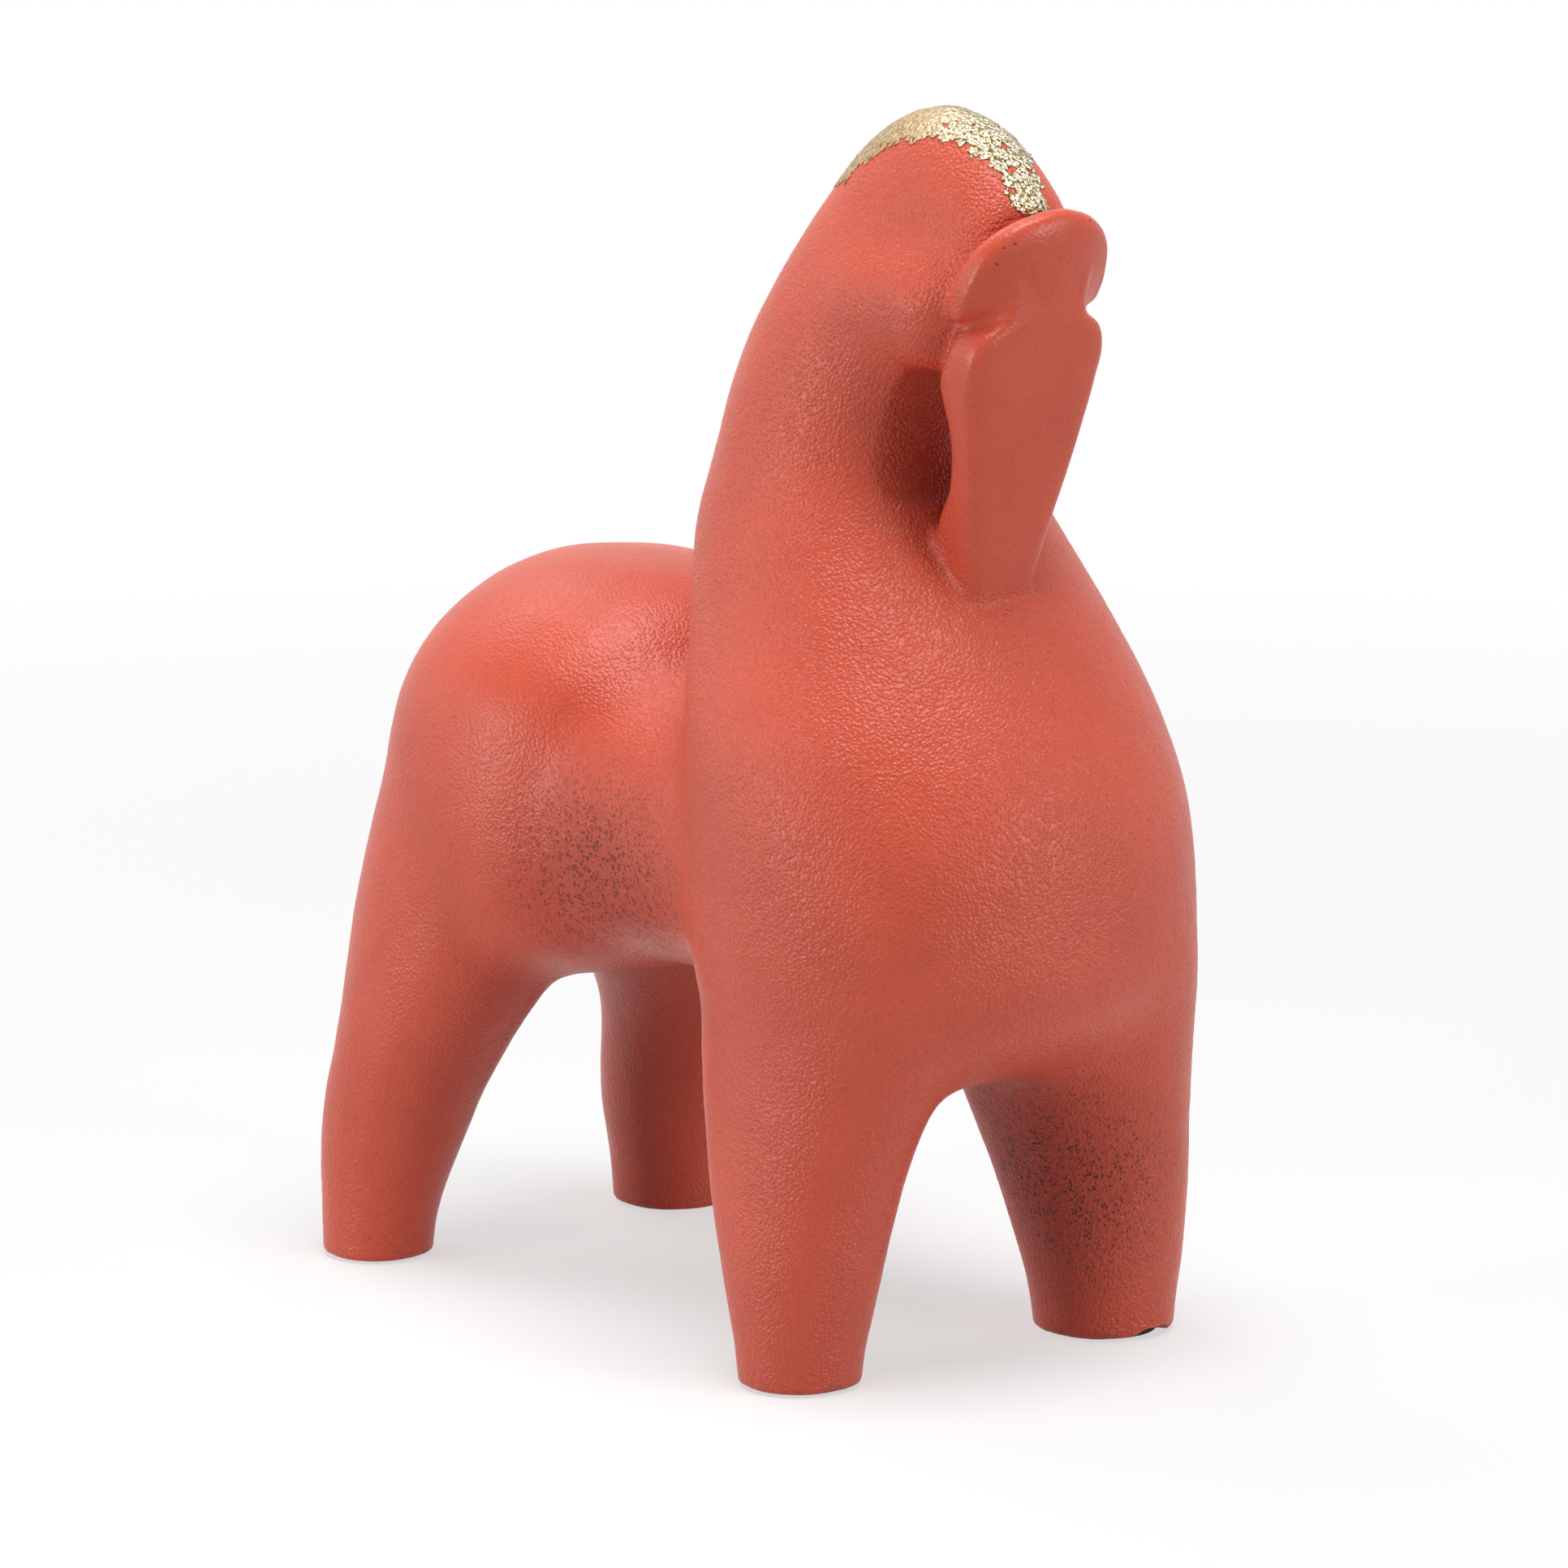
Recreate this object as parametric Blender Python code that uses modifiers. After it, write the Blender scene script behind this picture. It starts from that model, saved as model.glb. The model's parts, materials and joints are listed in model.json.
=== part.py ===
"""Resin horse figurine: a hollow casting on four padded feet, with gold leaf along its mane.

The horse stands on Z = 0, looks along -Y, and its left side is +X.
"""

import math
from collections import namedtuple

import bmesh
import bpy
import numpy as np
from mathutils import Vector
from mathutils.bvhtree import BVHTree

MM = 0.001

# Clearance between pieces that touch
GAP = 0.3 * MM

# The casting's wall, and the plugs that close the pouring holes in its feet; the plugs stand
# nearer the horse's middle than the feet do, because the legs lean inward above them
WALL = 5.0 * MM
PLUG_RADIUS = 5.0 * MM
PLUG_DEPTH = 7.0 * MM
PLUG_SHIFT = 2.0 * MM

# The pads, which sit in shallow recesses under the feet and stand a little proud of their rims
PAD_THICKNESS = 1.0 * MM
PAD_INSET = 5.0 * MM
RIM_Z = 0.4 * MM

# Where each foot stands, and its radius there; the casting is hand-finished, so no two match
FRONT_LEFT_FOOT = (44.3 * MM, -62.7 * MM, 17.2 * MM)
FRONT_RIGHT_FOOT = (-43.3 * MM, -60.5 * MM, 15.2 * MM)
REAR_LEFT_FOOT = (42.0 * MM, 95.5 * MM, 15.5 * MM)
REAR_RIGHT_FOOT = (-45.0 * MM, 97.5 * MM, 14.0 * MM)

# How far the left hind leg leans in, as a share of the right one's lean
LEFT_LEAN = 0.4

# Chest and shoulders
CHEST_Y = -58.0 * MM
CHEST_HALF_WIDTH = 60.0 * MM
CHEST_HALF_DEPTH = 51.0 * MM

# Neck, from its root on the chest to its thinnest place behind the jaw
NECK_Y = -31.0 * MM
NECK_HALF_WIDTH = 35.0 * MM
NECK_HALF_DEPTH = 33.0 * MM
CREST_HALF_WIDTH = 20.5 * MM
CREST_Z = 290.0 * MM

# Waist and rump
BELLY_Z = 79.5 * MM
WAIST_Z = 78.0 * MM
BACK_Z = 150.0 * MM
WAIST_HALF_WIDTH = 46.0 * MM
RUMP_Y = 61.0 * MM
RUMP_Z = 169.5 * MM
RUMP_HALF_WIDTH = 56.5 * MM
RUMP_HALF_DEPTH = 47.0 * MM

# The face: a plate that leans forward from its muzzle, on the chest, up to the fan of the ears
MUZZLE_Y = -80.5 * MM
MUZZLE_Z = 182.0 * MM
FACE_LEAN = math.radians(13.8)
FACE_LENGTH = 89.5 * MM
CHEEK_UP = 55.0 * MM
BROW_UP = 66.0 * MM
MUZZLE_HALF_WIDTH = 10.5 * MM
CHEEK_HALF_WIDTH = 19.5 * MM
BROW_HALF_WIDTH = 12.0 * MM
EAR_HALF_WIDTH = 20.3 * MM
JAW_THICKNESS = 10.0 * MM
CHEEK_THICKNESS = 13.0 * MM
EAR_THICKNESS = 8.0 * MM
EAR_SWEEP = 7.0 * MM
EAR_DROOP = 0.25

# The hole between the jaw and the neck, measured up the face and back from its front
HOLE_UP = 29.5 * MM
HOLE_HALF_HEIGHT = 17.5 * MM

# The gold leaf: a thin skin over the crest, wider toward the nape, with ragged sides
LEAF_THICKNESS = 0.4 * MM
LEAF_GAP = 0.45 * MM
LEAF_CENTRE_Y = -60.0 * MM
LEAF_CENTRE_Z = 245.0 * MM
LEAF_FRONT = math.radians(-53.0)
LEAF_BACK = math.radians(52.0)
LEAF_FRONT_HALF_WIDTH = 5.5 * MM
LEAF_BACK_HALF_WIDTH = 21.0 * MM
LEAF_TONGUE = 2.0 * MM
LEAF_ROWS = 44
LEAF_COLUMNS = 12

# Fineness of the sculpted surfaces
LIMB_VOXEL = 2.5 * MM
SKIN_VOXEL = 1.6 * MM
CORE_VOXEL = 3.0 * MM
SKIN_KEPT = 0.045
CORE_KEPT = 0.07
RING_POINTS = 40
LOFT_STEPS = 6
ROUND_POINTS = 48

# One section of a limb: its centre, half width across, half depth along, squareness, tilt in
# degrees about X, and bow, by which its sides lie further along than its middle
Section = namedtuple("Section", "y z wide deep square tilt x bow", defaults=(0, 0))


def clear_scene():
    """Remove the objects that the scene starts with."""
    for old in list(bpy.data.objects):
        bpy.data.objects.remove(old, do_unlink=True)


def new_collection(name):
    """Make a collection in the scene."""
    group = bpy.data.collections.new(name)
    bpy.context.scene.collection.children.link(group)
    return group


def finish(name, colour, roughness, metallic=0.0):
    """A plain material."""
    made = bpy.data.materials.new(name)
    made.use_nodes = True
    shader = made.node_tree.nodes["Principled BSDF"]
    shader.inputs["Base Color"].default_value = (*colour, 1)
    shader.inputs["Roughness"].default_value = roughness
    shader.inputs["Metallic"].default_value = metallic
    return made


def through(rows, steps):
    """Smooth curve through rows of values, with so many steps from one row to the next."""
    rows = np.array(rows, dtype=float)
    rows = np.vstack([2 * rows[0] - rows[1], rows, 2 * rows[-1] - rows[-2]])
    points = []
    for index in range(1, len(rows) - 2):
        a, b, c, d = rows[index - 1:index + 3]
        for step in range(steps):
            t = step / steps
            points.append(0.5 * (2 * b + (c - a) * t + (2 * a - 5 * b + 4 * c - d) * t ** 2
                                 + (3 * b - a - 3 * c + d) * t ** 3))
    points.append(rows[-2])
    return points


def ring(section):
    """Points of one section: a superellipse that lies flat at tilt 0 and stands up at 90."""
    power = 2 / section.square
    tilt = math.radians(section.tilt)
    points = []
    for index in range(RING_POINTS):
        angle = 2 * math.pi * index / RING_POINTS
        across = math.copysign(abs(math.cos(angle)) ** power, math.cos(angle))
        along = math.copysign(abs(math.sin(angle)) ** power, math.sin(angle)) * section.deep
        along += section.bow * across ** 2
        points.append((section.x + across * section.wide,
                       section.y + along * math.cos(tilt),
                       section.z + along * math.sin(tilt)))
    return points


def upright_ring(x, up, back, high, deep, square, lean=0.0):
    """Points of a section that stands across X, leaning with the face and by so much more."""
    power = 2 / square
    points = []
    for index in range(RING_POINTS):
        angle = 2 * math.pi * index / RING_POINTS
        along = math.copysign(abs(math.cos(angle)) ** power, math.cos(angle)) * deep
        rise = math.copysign(abs(math.sin(angle)) ** power, math.sin(angle)) * high
        points.append((x, *on_face(up + rise, back + along - lean * rise)))
    return points


def loft(form, sections):
    """Add a closed skin through the sections to a bmesh."""
    cover(form, [ring(Section(*row)) for row in through(sections, LOFT_STEPS)])


def cover(form, outlines):
    """Add a closed skin over a row of outlines to a bmesh."""
    rings = [[form.verts.new(point) for point in outline] for outline in outlines]
    for lower, upper in zip(rings, rings[1:]):
        for index in range(RING_POINTS):
            after = (index + 1) % RING_POINTS
            form.faces.new((lower[index], lower[after], upper[after], upper[index]))
    form.faces.new(list(reversed(rings[0])))
    form.faces.new(rings[-1])


def neck_sections():
    """Chest, neck and crest, from between the forelegs up and over to the forehead."""
    wide = CHEST_HALF_WIDTH
    deep = CHEST_HALF_DEPTH
    return [
        Section(CHEST_Y, BELLY_Z - 13 * MM, wide - 30 * MM, deep - 29 * MM, 2.2, 0),
        Section(CHEST_Y, BELLY_Z - 4 * MM, wide - 12 * MM, deep - 13 * MM, 2.2, 0),
        Section(CHEST_Y, BELLY_Z + 6 * MM, wide - 3 * MM, deep - 4 * MM, 2.2, 0),
        Section(CHEST_Y, BELLY_Z + 20 * MM, wide, deep, 2.2, 0),
        Section(CHEST_Y + 1 * MM, 125 * MM, wide, deep + 1 * MM, 2.1, 0),
        Section(CHEST_Y + 7 * MM, 147 * MM, wide - 3 * MM, deep + 1 * MM, 2.0, 0),
        Section(NECK_Y - 9.5 * MM, 170 * MM, NECK_HALF_WIDTH + 13 * MM,
                NECK_HALF_DEPTH + 14 * MM, 2.1, 0, 1.5 * MM),
        Section(NECK_Y - 0.5 * MM, 190 * MM, NECK_HALF_WIDTH + 6 * MM,
                NECK_HALF_DEPTH + 5 * MM, 2.3, 0, 1.5 * MM),
        Section(NECK_Y + 1 * MM, 207 * MM, NECK_HALF_WIDTH, NECK_HALF_DEPTH + 1 * MM, 2.0, 0),
        Section(NECK_Y - 3 * MM, 224 * MM, NECK_HALF_WIDTH - 3 * MM,
                NECK_HALF_DEPTH - 1 * MM, 2.0, 12),
        Section(NECK_Y - 14 * MM, CREST_Z - 49 * MM, CREST_HALF_WIDTH + 7 * MM,
                NECK_HALF_DEPTH - 2 * MM, 2.0, 32),
        Section(NECK_Y - 29 * MM, CREST_Z - 33 * MM, CREST_HALF_WIDTH,
                NECK_HALF_DEPTH, 1.9, 60),
        Section(NECK_Y - 44 * MM, CREST_Z - 35 * MM, CREST_HALF_WIDTH - 2 * MM,
                NECK_HALF_DEPTH + 1 * MM, 1.85, 84),
        Section(NECK_Y - 58 * MM, CREST_Z - 40 * MM, CREST_HALF_WIDTH - 3 * MM,
                NECK_HALF_DEPTH - 12 * MM, 2.0, 100),
    ]


def cheek_sections():
    """The cheeks, which carry the neck's sides forward to the face plate."""
    y, z = on_face(CHEEK_UP, CHEEK_THICKNESS)
    return [
        Section(NECK_Y - 20 * MM, z + 8 * MM, CHEEK_HALF_WIDTH + 9 * MM, 17 * MM, 2.3, 90),
        Section(NECK_Y - 38 * MM, z + 7 * MM, CHEEK_HALF_WIDTH + 7 * MM, 16 * MM, 2.5, 92),
        Section(y + 1 * MM, z + 5 * MM, CHEEK_HALF_WIDTH + 5.5 * MM, 15 * MM, 2.8, 100),
    ]


def rump_sections():
    """The rump dome, from between the hind legs up."""
    wide = RUMP_HALF_WIDTH
    deep = RUMP_HALF_DEPTH
    return [
        Section(RUMP_Y, BELLY_Z - 7 * MM, wide - 28 * MM, deep - 25 * MM, 2.2, 0),
        Section(RUMP_Y, BELLY_Z, wide - 13 * MM, deep - 11 * MM, 2.3, 0),
        Section(RUMP_Y, BELLY_Z + 9 * MM, wide - 4 * MM, deep - 4 * MM, 2.4, 0),
        Section(RUMP_Y + 1 * MM, RUMP_Z - 64 * MM, wide - 1 * MM, deep, 2.4, 0),
        Section(RUMP_Y + 1 * MM, RUMP_Z - 44 * MM, wide - 1 * MM, deep, 2.3, 0),
        Section(RUMP_Y - 1 * MM, RUMP_Z - 26 * MM, wide - 5 * MM, deep - 2 * MM, 2.2, 0),
        Section(RUMP_Y - 1 * MM, RUMP_Z - 13 * MM, wide - 16 * MM, deep - 9 * MM, 2.1, 0),
        Section(RUMP_Y - 1 * MM, RUMP_Z - 4 * MM, wide - 30 * MM, deep - 20 * MM, 2.0, 0),
        Section(RUMP_Y, RUMP_Z, wide - 44 * MM, deep - 35 * MM, 2.0, 0),
    ]


def waist_sections():
    """The waist between the shoulders and the rump, lying along Y."""
    middle = (WAIST_Z + BACK_Z) / 2
    deep = (BACK_Z - WAIST_Z) / 2
    return [
        Section(CHEST_Y + 18 * MM, middle, WAIST_HALF_WIDTH + 4 * MM, deep, 2.2, 90),
        Section(CHEST_Y + 48 * MM, middle, WAIST_HALF_WIDTH + 1 * MM, deep, 2.2, 90),
        Section((CHEST_Y + RUMP_Y) / 2 + 16 * MM, middle, WAIST_HALF_WIDTH, deep, 2.2, 90),
        Section(RUMP_Y - 16 * MM, middle - 1 * MM, WAIST_HALF_WIDTH + 3 * MM,
                deep + 2.5 * MM, 2.2, 90),
        Section(RUMP_Y + 9 * MM, middle - 1 * MM, WAIST_HALF_WIDTH + 4 * MM,
                deep + 2.5 * MM, 2.2, 90),
    ]


def fore_leg_sections(foot):
    """A foreleg, from below its foot up into the chest."""
    x, y, wide = foot
    inward = -math.copysign(1, x)
    return [
        Section(y, -20 * MM, wide - 1 * MM, wide - 1 * MM, 2.1, 0, x),
        Section(y, 4 * MM, wide, wide - 0.5 * MM, 2.1, 0, x),
        Section(y, 15 * MM, wide + 1.8 * MM, wide + 1.8 * MM, 2.1, 0, x + 0.5 * MM * inward),
        Section(y + 0.8 * MM, 27 * MM, wide + 3.2 * MM, wide + 5 * MM, 2.1, 0,
                x + 1.5 * MM * inward),
        Section(y + 2 * MM, 38 * MM, wide + 4.5 * MM, wide + 8 * MM, 2.1, 0,
                x + 2.7 * MM * inward),
        Section(y + 3 * MM, 50 * MM, wide + 5.7 * MM, wide + 11.5 * MM, 2.1, 0,
                x + 4.7 * MM * inward),
        Section(y + 3.5 * MM, 72 * MM, wide + 8.5 * MM, wide + 18.5 * MM, 2.1, 0,
                x + 9.5 * MM * inward),
        Section(CHEST_Y - 2 * MM, 95 * MM, wide + 12 * MM, wide + 26 * MM, 2.0, 0,
                x + 15.5 * MM * inward),
        Section(CHEST_Y - 1 * MM, 122 * MM, wide + 11.5 * MM, wide + 25 * MM, 2.0, 0,
                x + 18.5 * MM * inward),
    ]


def hind_leg_sections(foot):
    """A hind leg, from below its foot up into the rump; the left one leans in less."""
    x, y, wide = foot
    inward = -math.copysign(1, x)
    lean = 1 if x < 0 else LEFT_LEAN
    return [
        Section(y, -20 * MM, wide - 0.5 * MM, wide - 0.5 * MM, 2.1, 0, x),
        Section(y, 4 * MM, wide, wide, 2.1, 0, x),
        Section(y - 1 * MM, 19 * MM, wide + 2 * MM, wide + 2.2 * MM, 2.1, 0,
                x + 1.5 * MM * inward * lean),
        Section(y - 3 * MM, 31 * MM, wide + 4 * MM, wide + 4.5 * MM, 2.1, 0,
                x + 3 * MM * inward * lean),
        Section(y - 6.5 * MM, 42 * MM, wide + 5 * MM, wide + 6.2 * MM, 2.1, 0,
                x + 4 * MM * inward * lean),
        Section(y - 11 * MM, 54 * MM, wide + 6.8 * MM, wide + 8.5 * MM, 2.1, 0,
                x + 6.3 * MM * inward * lean),
        Section(RUMP_Y + 18.5 * MM, 76 * MM, wide + 9.5 * MM, wide + 15.5 * MM, 2.1, 0,
                x + 10.5 * MM * inward),
        Section(RUMP_Y + 14 * MM, 100 * MM, wide + 12 * MM, wide + 17 * MM, 2.1, 0,
                x + 15 * MM * inward),
        Section(RUMP_Y + 9 * MM, 122 * MM, wide + 10 * MM, wide + 16 * MM, 2.1, 0,
                x + 17 * MM * inward),
    ]


def on_face(up, back):
    """Place on the face's middle line: up from the muzzle, and back from its flat front."""
    y = MUZZLE_Y - up * math.sin(FACE_LEAN) + back * math.cos(FACE_LEAN)
    z = MUZZLE_Z + up * math.cos(FACE_LEAN) + back * math.sin(FACE_LEAN)
    return y, z


def face_sections():
    """The face plate, from inside the chest up into the fan of the ears."""
    jaw = JAW_THICKNESS
    rows = [
        (-6 * MM, MUZZLE_HALF_WIDTH, jaw + 9 * MM),
        (0, MUZZLE_HALF_WIDTH, jaw + 8.5 * MM),
        (HOLE_UP - 16 * MM, MUZZLE_HALF_WIDTH + 2 * MM, jaw + 5 * MM),
        (HOLE_UP - 7 * MM, MUZZLE_HALF_WIDTH + 3.6 * MM, jaw + 1 * MM),
        (HOLE_UP + 5 * MM, CHEEK_HALF_WIDTH - 2.9 * MM, jaw + 1 * MM),
        (CHEEK_UP - 9 * MM, CHEEK_HALF_WIDTH - 0.6 * MM, jaw + 5.5 * MM),
        (CHEEK_UP, CHEEK_HALF_WIDTH, CHEEK_THICKNESS),
        (CHEEK_UP + 6 * MM, CHEEK_HALF_WIDTH - 2 * MM, CHEEK_THICKNESS),
        (BROW_UP, BROW_HALF_WIDTH, CHEEK_THICKNESS - 1 * MM),
        (BROW_UP + 12 * MM, BROW_HALF_WIDTH, EAR_THICKNESS - 3 * MM),
    ]
    sections = []
    for up, half_width, thick in rows:
        y, z = on_face(up, max(thick, EAR_THICKNESS) / 2)
        sections.append(Section(y, z, half_width, thick / 2, 5, math.degrees(FACE_LEAN)))
    return sections


def ear_outlines():
    """The fan of the ears from side to side: each tip lies back and droops past the brow."""
    half = [
        (EAR_HALF_WIDTH, BROW_UP - 3 * MM, BROW_UP + 4 * MM, EAR_THICKNESS - 3 * MM),
        (EAR_HALF_WIDTH - 1.5 * MM, BROW_UP - 4 * MM, FACE_LENGTH - 11.5 * MM,
         EAR_THICKNESS - 1 * MM),
        (EAR_HALF_WIDTH - 4.5 * MM, BROW_UP - 4 * MM, FACE_LENGTH - 6.5 * MM, EAR_THICKNESS),
        (EAR_HALF_WIDTH - 9.5 * MM, BROW_UP - 3 * MM, FACE_LENGTH - 2.5 * MM, EAR_THICKNESS),
        (EAR_HALF_WIDTH - 15.5 * MM, BROW_UP - 3 * MM, FACE_LENGTH - 0.2 * MM, EAR_THICKNESS),
        (0, BROW_UP - 3 * MM, FACE_LENGTH + 0.5 * MM, EAR_THICKNESS),
    ]
    rows = half + [(-x, *rest) for x, *rest in reversed(half[:-1])]
    outlines = []
    for x, low, high, thick in through(rows, LOFT_STEPS):
        sweep = (x / EAR_HALF_WIDTH) ** 2
        outlines.append(upright_ring(x, (low + high) / 2, EAR_SWEEP * sweep + thick / 2,
                                     (high - low) / 2, thick / 2, 3, EAR_DROOP * sweep))
    return outlines


def hole_outlines(margin):
    """The hole between jaw and neck from side to side, flared to the sides, with a margin."""
    half = [
        (38 * MM, 19 * MM, HOLE_HALF_HEIGHT + 3.5 * MM),
        (28 * MM, 13 * MM, HOLE_HALF_HEIGHT + 1.3 * MM),
        (18 * MM, 9.5 * MM, HOLE_HALF_HEIGHT),
        (0, 8 * MM, HOLE_HALF_HEIGHT - 0.5 * MM),
    ]
    rows = half + [(-x, *rest) for x, *rest in reversed(half[:-1])]
    outlines = []
    for x, deep, high in through(rows, LOFT_STEPS):
        outlines.append(upright_ring(x, HOLE_UP, JAW_THICKNESS + deep, high + margin,
                                     deep + margin, 2))
    return outlines


def object_from(form, name, group, material=None):
    """Turn a bmesh into an object of the group."""
    bmesh.ops.recalc_face_normals(form, faces=form.faces)
    mesh = bpy.data.meshes.new(name)
    form.to_mesh(mesh)
    form.free()
    mesh.shade_smooth()
    if material:
        mesh.materials.append(material)
    made = bpy.data.objects.new(name, mesh)
    group.objects.link(made)
    return made


def evaluated_mesh(made):
    """A new mesh with the object's modifiers applied."""
    graph = bpy.context.evaluated_depsgraph_get()
    return bpy.data.meshes.new_from_object(made.evaluated_get(graph), depsgraph=graph)


def cutter(made):
    """Keep an object as a guide that only cuts others."""
    made.hide_render = True
    made.display_type = "WIRE"
    return made


def blend(made, voxel, iterations):
    """Melt an object's crossing skins into one and ease the creases between them."""
    remesh = made.modifiers.new("melt", "REMESH")
    remesh.mode = "VOXEL"
    remesh.voxel_size = voxel
    smooth = made.modifiers.new("ease", "SMOOTH")
    smooth.factor = 0.5
    smooth.iterations = iterations


def thin_out(made, kept):
    """Keep only a share of an object's triangles."""
    decimate = made.modifiers.new("thin_out", "DECIMATE")
    decimate.ratio = kept
    decimate.use_collapse_triangulate = True


def cut(made, tool, crossing=False):
    """Take one object out of another, which may have skins that cross each other."""
    boolean = made.modifiers.new("cut_" + tool.name, "BOOLEAN")
    boolean.operation = "DIFFERENCE"
    boolean.object = tool
    boolean.use_self = crossing


def block(name, low_z, high_z, group):
    """A wide block between two heights, which cuts the feet level."""
    form = bmesh.new()
    bmesh.ops.create_cube(form, size=1)
    bmesh.ops.scale(form, vec=(0.2, 0.4, high_z - low_z), verts=form.verts)
    bmesh.ops.translate(form, vec=(0, 0, (low_z + high_z) / 2), verts=form.verts)
    return cutter(object_from(form, name, group))


def disc(name, radius, low_z, high_z, place, group, material=None):
    """An upright cylinder between two heights."""
    form = bmesh.new()
    bmesh.ops.create_cone(form, cap_ends=True, segments=ROUND_POINTS, radius1=radius,
                          radius2=radius, depth=high_z - low_z)
    bmesh.ops.translate(form, vec=(0, 0, (high_z - low_z) / 2), verts=form.verts)
    made = object_from(form, name, group, material)
    made.data.set_sharp_from_angle(angle=math.radians(40))
    made.location = (place[0], place[1], low_z)
    return made


def limbs_form(group):
    """The horse without its face: chest, neck, rump, waist and legs melted together."""
    form = bmesh.new()
    loft(form, neck_sections())
    loft(form, cheek_sections())
    loft(form, rump_sections())
    loft(form, waist_sections())
    for foot in (FRONT_LEFT_FOOT, FRONT_RIGHT_FOOT):
        loft(form, fore_leg_sections(foot))
    for foot in (REAR_LEFT_FOOT, REAR_RIGHT_FOOT):
        loft(form, hind_leg_sections(foot))
    made = object_from(form, "limbs", group)
    blend(made, LIMB_VOXEL, 50)
    return cutter(made)


def jaw_hole(name, margin, group):
    """A guide that cuts the hole between the jaw and the neck."""
    form = bmesh.new()
    cover(form, hole_outlines(margin))
    return cutter(object_from(form, name, group))


def casting_skin(limbs, level, hole, group, material):
    """The casting's outside, face and all, with its feet cut level."""
    form = bmesh.new()
    form.from_mesh(evaluated_mesh(limbs))
    loft(form, face_sections())
    cover(form, ear_outlines())
    made = object_from(form, "body_casting", group, material)
    cut(made, level, crossing=True)
    cut(made, hole, crossing=True)
    blend(made, SKIN_VOXEL, 5)
    thin_out(made, SKIN_KEPT)
    return made


def casting_core(limbs, level, hole, group):
    """The hollow that the poured resin leaves: the limbs, less the wall all round."""
    form = bmesh.new()
    form.from_mesh(evaluated_mesh(limbs))
    made = object_from(form, "core", group)
    shrink = made.modifiers.new("less_the_wall", "DISPLACE")
    shrink.strength = -WALL
    shrink.mid_level = 0
    cut(made, level)
    cut(made, hole)
    blend(made, CORE_VOXEL, 4)
    thin_out(made, CORE_KEPT)
    return cutter(made)


def leaf_half_width(share, side):
    """Half width of the leaf, from 0 behind the ears to 1 at the nape, with ragged tongues."""
    wide = LEAF_FRONT_HALF_WIDTH + (LEAF_BACK_HALF_WIDTH - LEAF_FRONT_HALF_WIDTH) * share
    rounded = min(1, (1.05 - share) / 0.2) ** 0.5
    tongues = math.sin(31 * share + side) + 0.6 * math.sin(57 * share + 2 * side)
    return wide * rounded + LEAF_TONGUE * tongues / 1.6


def gold_leaf(skin, group, material):
    """A thin skin that follows the crest from behind the ears to the nape."""
    body = evaluated_mesh(skin)
    points = [vertex.co for vertex in body.vertices]
    tree = BVHTree.FromPolygons(points, [face.vertices for face in body.polygons])
    centre = Vector((0, LEAF_CENTRE_Y, LEAF_CENTRE_Z))
    reach = CREST_Z - LEAF_CENTRE_Z
    form = bmesh.new()
    grid = []
    for row in range(LEAF_ROWS + 1):
        share = row / LEAF_ROWS
        angle = LEAF_FRONT + (LEAF_BACK - LEAF_FRONT) * share
        line = []
        for column in range(LEAF_COLUMNS + 1):
            across = 2 * column / LEAF_COLUMNS - 1
            half = leaf_half_width(share, math.copysign(1, across))
            lean = math.atan(across * half / reach)
            way = Vector((math.sin(lean), math.sin(angle) * math.cos(lean),
                          math.cos(angle) * math.cos(lean)))
            place, normal, _, _ = tree.ray_cast(centre, way)
            if normal.dot(way) < 0:
                normal = -normal
            line.append(form.verts.new(place + normal * LEAF_GAP))
        grid.append(line)
    for line, after in zip(grid, grid[1:]):
        for column in range(LEAF_COLUMNS):
            form.faces.new((line[column], line[column + 1], after[column + 1], after[column]))
    made = object_from(form, "gold_leaf_mane", group, material)
    thicken = made.modifiers.new("thickness", "SOLIDIFY")
    thicken.thickness = LEAF_THICKNESS
    thicken.offset = 1
    return made


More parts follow.
